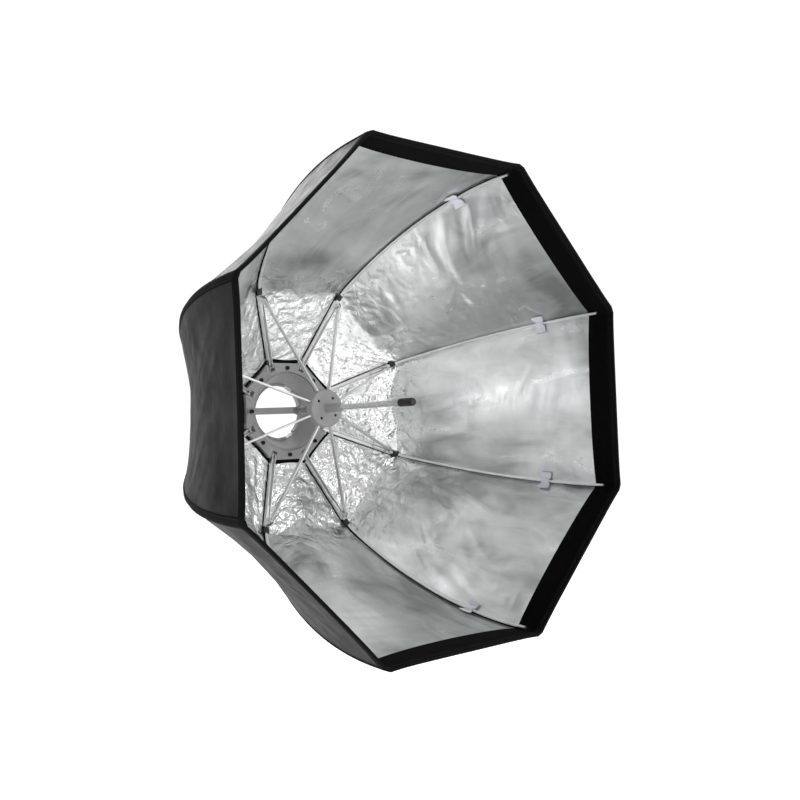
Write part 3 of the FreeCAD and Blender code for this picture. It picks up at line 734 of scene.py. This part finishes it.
def makeBand(number, rows, columns):
    pick = np.ix_(rows, columns)
    base, normal = grids["lining"][pick], gridNormal["lining"][pick]
    piece = slab(f"loop_band_{number}", base + normal * 0.0004, base - normal * 0.0013,
                 normal, -normal, cutPlaces(number, rows), (band, band, band))
    foldWith(piece, number)
    return piece


def tubeAlong(name, loops, across, materials, ring=False):
    # A closed ribbon: each column has one loop of points, and the loops are joined in order.
    columns, around = loops.shape[:2]
    points = loops.reshape(-1, 3)
    faces, places = [], []
    spans = columns if ring else columns - 1
    travel = np.zeros(columns + 1)
    for column in range(columns):
        following = (column + 1) % columns
        travel[column + 1] = travel[column] + np.linalg.norm(loops[following, 0] - loops[column, 0])
    for column in range(spans):
        following = (column + 1) % columns
        for k in range(around):
            after = (k + 1) % around
            faces.append([column * around + k, following * around + k,
                          following * around + after, column * around + after])
            u0, u1 = travel[column], travel[column + 1]
            v0, v1 = across[k], across[k + 1]
            places += [(u0, v0), (u1, v0), (u1, v1), (u0, v1)]
    if not ring:
        faces.append([k for k in range(around)])
        places += [(0, across[k]) for k in range(around)]
        faces.append([(columns - 1) * around + k for k in reversed(range(around))])
        places += [(travel[columns - 1], across[k]) for k in reversed(range(around))]
    mesh = bpy.data.meshes.new(name)
    mesh.from_pydata(points.tolist(), [], faces)
    layer = mesh.uv_layers.new(name="clothCut")
    layer.data.foreach_set("uv", np.array(places, dtype=np.float32).ravel())
    for material in materials:
        mesh.materials.append(material)
    piece = bpy.data.objects.new(name, mesh)
    bpy.context.scene.collection.objects.link(piece)
    finishEdges(piece, 50)
    return piece


def finishEdges(piece, angle):
    bpy.ops.object.select_all(action="DESELECT")
    piece.select_set(True)
    bpy.context.view_layer.objects.active = piece
    bpy.ops.object.mode_set(mode="EDIT")
    bpy.ops.mesh.select_all(action="SELECT")
    bpy.ops.mesh.normals_make_consistent(inside=False)
    bpy.ops.object.mode_set(mode="OBJECT")
    bpy.ops.object.shade_smooth_by_angle(angle=math.radians(angle))
    piece.select_set(False)


# Ribbons folded over the cloth's edges: along the cloth from the edge, then out of its face.
rimFold = {
    "inside": ((0.0105, 0.0010), (0.0098, 0.0021), (0.0020, 0.0022)),
    "edge": 0.0011,
    "outside": ((0.0020, 0.0010), (0.0100, 0.0009), (0.0108, -0.0002)),
}
ringFold = {
    "inside": ((0.0040, -0.0002), (0.0035, 0.0008), (0.0009, 0.0009)),
    "edge": 0.0010,
    "outside": ((0.0015, 0.0010), (0.0100, 0.0009), (0.0108, -0.0002)),
}


def rowAt(s):
    return int(np.argmin(np.abs(rowLengths - s)))


def faceAt(side, s, columns, lift):
    # Points of one face at a length, lifted out of it.
    grid, normal = grids[side][:, columns], gridNormal[side][:, columns]
    high = int(np.searchsorted(rowLengths, s))
    high = min(max(high, 1), len(rowLengths) - 1)
    low = high - 1
    share = (s - rowLengths[low]) / (rowLengths[high] - rowLengths[low])
    point = grid[low] * (1 - share) + grid[high] * share
    out = normal[low] * (1 - share) + normal[high] * share
    out /= np.linalg.norm(out, axis=1, keepdims=True)
    return point + out * (lift if side == "shell" else -lift)


def ribbonLoops(columns, edgeLength, direction, ribbon):
    # direction is +1 where the cloth's edge lies forward, at the mouth, and -1 at the ring.
    layers = []
    for back, lift in ribbon["inside"]:
        layers.append(faceAt("lining", edgeLength - direction * back, columns, lift))
    forward = (faceAt("lining", edgeLength, columns, 0)
               - faceAt("lining", edgeLength - direction * 0.004, columns, 0))
    forward /= np.linalg.norm(forward, axis=1, keepdims=True)
    layers.append(faceAt("lining", edgeLength, columns, 0.0014) + forward * ribbon["edge"])
    layers.append(faceAt("shell", edgeLength, columns, 0.0003) + forward * ribbon["edge"])
    for back, lift in ribbon["outside"]:
        layers.append(faceAt("shell", edgeLength - direction * back, columns, lift))
    loops = np.stack(layers, axis=1)
    steps = [float(np.linalg.norm(a[0] - b[0])) for a, b in zip(layers, layers[1:])]
    marks = [0.0]
    for step in steps:
        marks.append(marks[-1] + step)
    marks.append(marks[-1] + 0.002)
    return loops, marks


def makeBinding(number, columns):
    loops, marks = ribbonLoops(columns, rimLength, 1, rimFold)
    piece = tubeAlong(f"rim_binding_{number}", loops, marks, (rimRibbon,))
    foldWith(piece, number)
    return piece


def makeTape(number):
    # The folded seam that covers each rib outside.
    rows = list(range(rowAt(0.022), rowAt(rimLength - 0.009) + 1))
    half = len(nearRib) - 1
    pick = np.ix_(rows, goreColumns(number, half))
    base, normal = grids["shell"][pick], gridNormal["shell"][pick]
    raised = np.full(2 * half + 1, 0.0010)
    raised[half] = 0.0014
    raised[0] = raised[-1] = 0.0006
    places = np.zeros((len(rows), 2 * half, 2, 2))
    places[:, :, :, 1] = rowLengths[rows][:, None, None]
    across = np.array([-z for z in nearRib[:0:-1]] + nearRib)
    places[:, :, 0, 0] = across[:-1]
    places[:, :, 1, 0] = across[1:]
    piece = slab(f"seam_tape_{number}", base + normal * raised[None, :, None],
                 base - normal * 0.0004, normal, -normal, places, (seamTape,) * 3)
    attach(piece, f"rib_{number}")
    return piece


def makeLiningSeam(number):
    # The black strip that binds the lining's seam behind each rib, wide as far as the joint.
    for label, low, high, span in (("inner", 0.018, 0.150, 2), ("outer", 0.150, bandStart, 1)):
        rows = list(range(rowAt(low), rowAt(high) + 1))
        pick = np.ix_(rows, goreColumns(number, span))
        base, normal = grids["lining"][pick], gridNormal["lining"][pick]
        places = np.zeros((len(rows), 2 * span, 2, 2))
        places[:, :, :, 1] = rowLengths[rows][:, None, None]
        across = np.array([-z for z in nearRib[span:0:-1]] + nearRib[:span + 1])
        places[:, :, 0, 0] = across[:-1]
        places[:, :, 1, 0] = across[1:]
        piece = slab(f"lining_seam_{label}_{number}", base + normal * 0.0004,
                     base - normal * 0.0006, normal, -normal, places, (liningSeam,) * 3)
        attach(piece, f"rib_{number}")


makeCanopy()
print("canopy made")


def makeHem():
    columns = list(range(roundColumns))
    loops, marks = ribbonLoops(columns, cloth["start"], -1, ringFold)
    piece = tubeAlong("ring_hem", loops, marks, (hemRibbon,), ring=True)
    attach(piece, "ring")
    return piece


makeHem()
print("hem made")


# The collar behind the ring.
collar = {
    "profile": ((0.0972, 0.0334), (0.0955, 0.0306), (0.0905, 0.0252), (0.0835, 0.0199),
                (0.0765, 0.0148), (0.0705, 0.0112), (0.0672, 0.0094), (0.0655, 0.0090)),
    "thickness": 0.0022,
    "columns": 320,
    "pleats": 44,
    "pleatDepth": 0.0011,
    "elasticRadius": 0.0019,
    "elasticSides": 12,
    "cutLength": 0.60,
    "meanLength": 0.58,
}


def makeCollar():
    rows = collar["profile"]
    count = collar["columns"]
    outer = np.zeros((len(rows), count, 3))
    inner = np.zeros((len(rows), count, 3))
    places = np.zeros((len(rows), count, 2, 2))
    around = 2 * math.pi * 0.085 / count
    run = 0.0
    for i, (radius, depth) in enumerate(rows):
        before, after = rows[max(i - 1, 0)], rows[min(i + 1, len(rows) - 1)]
        run += math.hypot(radius - before[0], depth - before[1])
        slope = Vector((after[0] - before[0], after[1] - before[1])).normalized()
        normal = (-slope.y, slope.x)
        if normal[1] > 0:
            normal = (slope.y, -slope.x)
        share = i / (len(rows) - 1)
        gather = smooth(share, 0.1, 0.9) * 0.9 + 0.1
        for k in range(count):
            angle = 2 * math.pi * k / count
            wander = noise.noise(Vector((math.cos(angle) * 3, math.sin(angle) * 3, 0.7)))
            pleat = math.sin(angle * collar["pleats"] + wander * 3)
            pleat += 0.5 * noise.noise(Vector((math.cos(angle) * 9, math.sin(angle) * 9, share * 2)))
            push = pleat * collar["pleatDepth"] * gather
            for grid, offset in ((outer, push + 0.0002), (inner, push - collar["thickness"])):
                r = radius + normal[0] * offset
                d = depth + normal[1] * offset
                grid[i, k] = (math.cos(angle) * r, -d, math.sin(angle) * r)
            places[i, k] = ((k * around, run), ((k + 1) * around, run))
    normals = gridNormals(outer)
    back = np.sign(normals[len(rows) // 2, 0, 1]) or 1
    piece = slab("mount_collar", outer, inner, normals * back, -normals * back, places,
                 (shell,) * 3, ring=True)
    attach(piece, "ring")
    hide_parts("back_collar")
    # The elastic inside the collar's small edge.
    radius, depth = rows[-1]
    thick = collar["elasticRadius"]
    sides = collar["elasticSides"]
    loops = np.zeros((count, sides, 3))
    for k in range(count):
        angle = 2 * math.pi * k / count
        swell = thick * (1 + 0.12 * math.sin(angle * collar["pleats"] * 2))
        for j in range(sides):
            turn = 2 * math.pi * j / sides
            r = radius + 0.0012 + swell * math.cos(turn)
            d = depth + 0.0006 + swell * math.sin(turn)
            loops[k, j] = (math.cos(angle) * r, -d, math.sin(angle) * r)
    marks = [2 * math.pi * thick * j / sides for j in range(sides + 1)]
    elastic = tubeAlong("collar_elastic", loops, marks, (hemRibbon,), ring=True)
    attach(elastic, "ring")


makeCollar()
print("collar made")


# The straps that tie the lining to the rods.
tab = {
    "share": 0.70,  # along the rod's long arc
    "line": ((-0.0150, -0.0062), (-0.0095, -0.0033), (-0.0056, -0.0013), (-0.0040, -0.0017),
             (-0.0026, -0.0035), (0.0, -0.0041), (0.0026, -0.0035), (0.0040, -0.0017),
             (0.0056, -0.0013), (0.0095, -0.0033), (0.0150, -0.0062)),
    "halfWide": ((0.0, 0.0068), (0.004, 0.0074), (0.009, 0.0098), (0.0150, 0.0112)),
    "thickness": 0.0011,
    "rows": 15,
    "columns": 41,
    "cutWidth": 0.0225,
    "meanWidth": 0.0178,
}


def tabLength():
    # How far along the rib the strap sits.
    tipLength = float(profile["length"][-2])
    kinkEnd = ribLine["straight"] + ribLine["kinkRadius"] * ribLine["kinkAngle"]
    return kinkEnd + (tipLength - kinkEnd) * tab["share"]


def ribFrame(number, s):
    # Origin on the rod, with the directions along it, out of the box and sideways.
    here, ahead = onRib(number, s), onRib(number, s + 0.002)
    along = (ahead - here).normalized()
    side = Vector(sideways(number))
    outward = along.cross(side)
    azimuth = ribAzimuth(number)
    if outward.dot(Vector((math.cos(azimuth), 0, math.sin(azimuth)))) < 0:
        outward = -outward
    return here, along, outward, side


def curvePoint(points, t):
    # A smooth line through the points, by share of their count.
    span = len(points) - 1
    k = min(int(t * span), span - 1)
    f = t * span - k
    p = [points[min(max(k + i, 0), span)] for i in (-1, 0, 1, 2)]
    return tuple(0.5 * (2 * b + (c - a) * f + (2 * a - 5 * b + 4 * c - d) * f * f
                        + (3 * b - a - 3 * c + d) * f ** 3) for a, b, c, d in zip(*p))


def makeTab(number):
    here, along, outward, side = ribFrame(number, tabLength())
    rows, columns = tab["rows"], tab["columns"]
    outer = np.zeros((rows, columns, 3))
    inner = np.zeros((rows, columns, 3))
    places = np.zeros((rows, columns - 1, 2, 2))
    spots = [curvePoint(tab["line"], k / (columns - 1)) for k in range(columns)]
    reach = [0.0]
    for a, b in zip(spots, spots[1:]):
        reach.append(reach[-1] + math.hypot(b[0] - a[0], b[1] - a[1]))
    for k, (z, y) in enumerate(spots):
        before, after = spots[max(k - 1, 0)], spots[min(k + 1, columns - 1)]
        slope = Vector((after[0] - before[0], after[1] - before[1])).normalized()
        half = float(np.interp(abs(z), *zip(*tab["halfWide"])))
        for i in range(rows):
            u = 2 * i / (rows - 1) - 1
            curl = -0.0009 * abs(u) ** 3 * smooth(abs(z), 0.005, 0.0150)
            curl += 0.0003 * noise.noise(Vector((z * 300, u * 2, number * 3.3)))
            middle = (here + side * (z * (1 - 0.04 * u * u)) + outward * (y + curl)
                      + along * half * u)
            lift = (side * -slope.y + outward * slope.x) * (tab["thickness"] / 2)
            outer[i, k] = middle + lift
            inner[i, k] = middle - lift
            if k < columns - 1:
                places[i, k] = ((reach[k], half * u), (reach[k + 1], half * u))
    normals = openNormals(outer, outward)
    backs = openNormals(inner, outward)
    piece = slab(f"rod_tab_{number}", outer, inner, normals, -backs, places, (tabCloth,) * 3)
    foldWith(piece, number)
    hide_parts(f"rib_tab_{number}")
    return piece


def openNormals(grid, outward):
    normals = np.cross(np.gradient(grid, axis=0), np.gradient(grid, axis=1))
    normals /= np.linalg.norm(normals, axis=2, keepdims=True)
    middle = normals[grid.shape[0] // 2, 0]
    return normals * (1 if middle @ np.array(outward) > 0 else -1)


for number in ribNumbers:
    makeTab(number)
print("tabs made")


rivets = {
    "radius": 0.0021,
    "height": 0.0011,
    "circle": 0.0860,  # from the mount's centre
    "aside": 0.0105,
    "cheekDrop": 0.012,
    "cheekOut": 0.004704,
}


def domedHead(name, radius, height):
    # A low turned head: a short cylinder whose top edge is rounded and whose top is dished.
    bpy.ops.object.select_all(action="DESELECT")
    bpy.ops.mesh.primitive_cylinder_add(vertices=24, radius=radius, depth=height,
                                        location=(0, 0, height / 2))
    head = bpy.context.object
    head.name = name
    bpy.ops.object.mode_set(mode="EDIT")
    bpy.ops.mesh.select_mode(type="FACE")
    bpy.ops.mesh.select_all(action="DESELECT")
    bpy.ops.object.mode_set(mode="OBJECT")
    for face in head.data.polygons:
        face.select = face.normal.z > 0.9
    bpy.ops.object.mode_set(mode="EDIT")
    bpy.ops.mesh.bevel(offset=radius * 0.45, segments=4, affect="EDGES")
    bpy.ops.object.mode_set(mode="OBJECT")
    for face in head.data.polygons:
        face.select = face.normal.z > 0.99 and face.center.z > height * 0.9
    bpy.ops.object.mode_set(mode="EDIT")
    bpy.ops.mesh.inset(thickness=radius * 0.22, depth=-height * 0.22)
    bpy.ops.object.mode_set(mode="OBJECT")
    bpy.ops.object.shade_smooth_by_angle(angle=math.radians(35))
    bpy.ops.object.transform_apply(location=True, rotation=True, scale=True)
    head.select_set(False)
    return head


def copiesOf(pattern, name, spots):
    # One piece from several turned and moved copies; a spot is a place and a direction.
    bpy.ops.object.select_all(action="DESELECT")
    made = []
    for at, facing in spots:
        copy = pattern.copy()
        copy.data = pattern.data.copy()
        bpy.context.scene.collection.objects.link(copy)
        copy.rotation_mode = "QUATERNION"
        copy.rotation_quaternion = Vector(facing).to_track_quat("Z", "Y")
        copy.location = at
        copy.select_set(True)
        made.append(copy)
    bpy.context.view_layer.objects.active = made[0]
    bpy.ops.object.join()
    piece = bpy.context.object
    bpy.ops.object.transform_apply(location=True, rotation=True, scale=True)
    piece.name = name
    piece.data.name = name
    piece.select_set(False)
    return piece


def makeRivets():
    head = domedHead("rivetPattern", rivets["radius"], rivets["height"])
    head.data.materials.append(finishes["pin_steel"])
    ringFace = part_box("speed_ring")[0][1]
    spots = []
    for number in ribNumbers:
        azimuth = ribAzimuth(number)
        out = Vector((math.cos(azimuth), 0, math.sin(azimuth)))
        side = Vector(sideways(number))
        for sign in (1, -1):
            at = out * rivets["circle"] + side * rivets["aside"] * sign
            spots.append((at + Vector((0, ringFace, 0)), (0, -1, 0)))
    piece = copiesOf(head, "ring_rivets", spots)
    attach(piece, "ring")
    # The stretcher's rivet has a head at each cheek of its rib.
    drop = rivets["cheekDrop"]
    tilt = ribLine["tilt"]
    for number in ribNumbers:
        azimuth = ribAzimuth(number)
        out = Vector((math.cos(azimuth), 0, math.sin(azimuth)))
        side = Vector(sideways(number))
        radius = (ribLine["rootRadius"] + ribLine["straight"] * math.cos(tilt)
                  - drop * math.sin(tilt))
        depth = (ribLine["rootDepth"] + ribLine["straight"] * math.sin(tilt)
                 + drop * math.cos(tilt))
        centre = out * radius + Vector((0, -depth, 0))
        reach = side * rivets["cheekOut"]
        spots = [(centre + reach, side), (centre - reach, -side)]
        piece = copiesOf(head, f"cheek_rivet_{number}", spots)
        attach(piece, f"rib_{number}")
    bpy.data.objects.remove(head)


makeRivets()
print("rivets made")


# Finishes of the carried parts.
slotOf = {entry["node"]: entry["material_slot"] for entry in frame["record"]["subparts"]}
for name, part in frame["nodes"].items():
    finish = finishes.get(slotOf[name], shell)
    part.data.materials.clear()
    part.data.materials.append(finish)
print("finishes set")


# Floor, light and camera.
studio = {
    "floorHeight": -0.62,
    "floorSize": 30.0,
    "floorGlow": 0.50,
    "worldLight": 1.08,
    "darkSide": 0.05,
    "lights": {  # place, aim, width and power
        "keyLight": ((-0.3, -2.5, 0.8), (0.05, -0.15, 0), 1.2, 7.0),
        "fillLight": ((1.9, -1.9, 1.2), (0, -0.3, 0), 1.4, 30.0),
        "backLight": ((0.6, 2.2, 1.8), (0, -0.2, 0), 1.4, 30.0),
    },
}
viewCamera = {
    "place": (-0.9548, -1.5069, -0.0514),
    "turn": (92.1435, 1.9616, -39.8773),
    "sensor": 36,
    "lens": 42.27,
}


def makeStudio():
    bpy.ops.object.select_all(action="DESELECT")
    bpy.ops.mesh.primitive_plane_add(size=studio["floorSize"], location=(0, 0, 0))
    floor = bpy.context.object
    floor.name = "studioFloor"
    bpy.ops.object.transform_apply(location=True, rotation=True, scale=True)
    floor.location.z = studio["floorHeight"]
    material, tree, shader = newMaterial("studioFloor", gray(0.92), 0.9)
    color = shades(tree, mottle(tree, objectPlace(tree), 2, 3), (0.3, gray(0.91)), (0.7, gray(0.93)))
    tree.links.new(color, shader.inputs["Base Color"])
    shader.inputs["Emission Color"].default_value = (1, 1, 1, 1)
    shader.inputs["Emission Strength"].default_value = studio["floorGlow"]
    floor.data.materials.append(material)
    world = bpy.data.worlds.new("studioWorld")
    world.use_nodes = True
    background = world.node_tree.nodes["Background"]
    # The room is dark at the left and white at the right.
    tree = world.node_tree
    split = addNode(tree, "SeparateXYZ", Vector=addNode(tree, "TexCoord").outputs["Generated"])
    side = calc(tree, "MULTIPLY_ADD", split.outputs["Y"], 0.5, split.outputs["X"])
    glow = spread(tree, side, -0.8, 0.5, studio["darkSide"], 1.0)
    # The wall behind the object is white from every side.
    glow = calc(tree, "MAXIMUM", glow, addNode(tree, "LightPath").outputs["Is Camera Ray"])
    tree.links.new(addNode(tree, "CombineColor", Red=glow, Green=glow, Blue=glow).outputs[0],
                   background.inputs["Color"])
    background.inputs["Strength"].default_value = studio["worldLight"]
    bpy.context.scene.world = world

    for name, (place, target, size, power) in studio["lights"].items():
        data = bpy.data.lights.new(name, "AREA")
        data.shape = "DISK"
        data.size = size
        data.energy = power
        lamp = bpy.data.objects.new(name, data)
        bpy.context.scene.collection.objects.link(lamp)
        lamp.location = place
        aim = Vector(target) - Vector(place)
        lamp.rotation_mode = "QUATERNION"
        lamp.rotation_quaternion = aim.to_track_quat("-Z", "Y")


def makeCamera():
    data = bpy.data.cameras.new("viewCamera")
    data.sensor_width = viewCamera["sensor"]
    data.lens = viewCamera["lens"]
    camera = bpy.data.objects.new("viewCamera", data)
    bpy.context.scene.collection.objects.link(camera)
    camera.location = viewCamera["place"]
    camera.rotation_euler = [math.radians(angle) for angle in viewCamera["turn"]]
    bpy.context.scene.camera = camera


makeStudio()
makeCamera()
bpy.context.scene.view_settings.view_transform = "Standard"
bpy.context.scene.view_settings.look = "None"
print("studio made")
